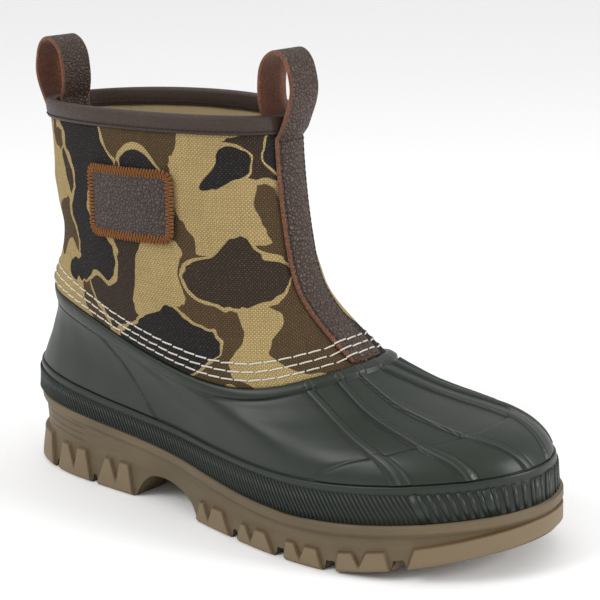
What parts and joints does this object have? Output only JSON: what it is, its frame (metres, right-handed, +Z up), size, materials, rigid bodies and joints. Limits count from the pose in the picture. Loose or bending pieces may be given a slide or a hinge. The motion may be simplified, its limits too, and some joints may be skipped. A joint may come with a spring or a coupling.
{
  "type": "duck boot",
  "caption": "Right-foot pull-on duck boot: ankle-high camouflage canvas shaft over a moulded rubber shell on a gum-rubber lug sole, with leather pull loops.",
  "frame": {"origin": "on the floor, at the middle of the outsole's length and width", "axes": "+X to the toe, +Y to the inner (medial) side, +Z up"},
  "size_m": [0.308, 0.1155, 0.221],
  "materials": {
    "gum_rubber": "matte gum rubber",
    "green_rubber": "satin moulded rubber",
    "camo_canvas": "heavy woven cotton with a camouflage print",
    "binding_leather": "smooth dark brown leather",
    "strap_leather": "pebbled dark brown leather with raw reddish edges",
    "patch_leather": "pebbled brown leather with a thread border",
    "insole_cloth": "khaki cloth"
  },
  "bodies": {
    "root": {"outsole": "gum_rubber", "rubber_shell": "green_rubber", "canvas_shaft": "camo_canvas", "collar_binding": "binding_leather", "front_strap_loop": "strap_leather", "back_strap_loop": "strap_leather", "side_patch": "patch_leather", "insole": "insole_cloth"}
  },
  "joints": []
}
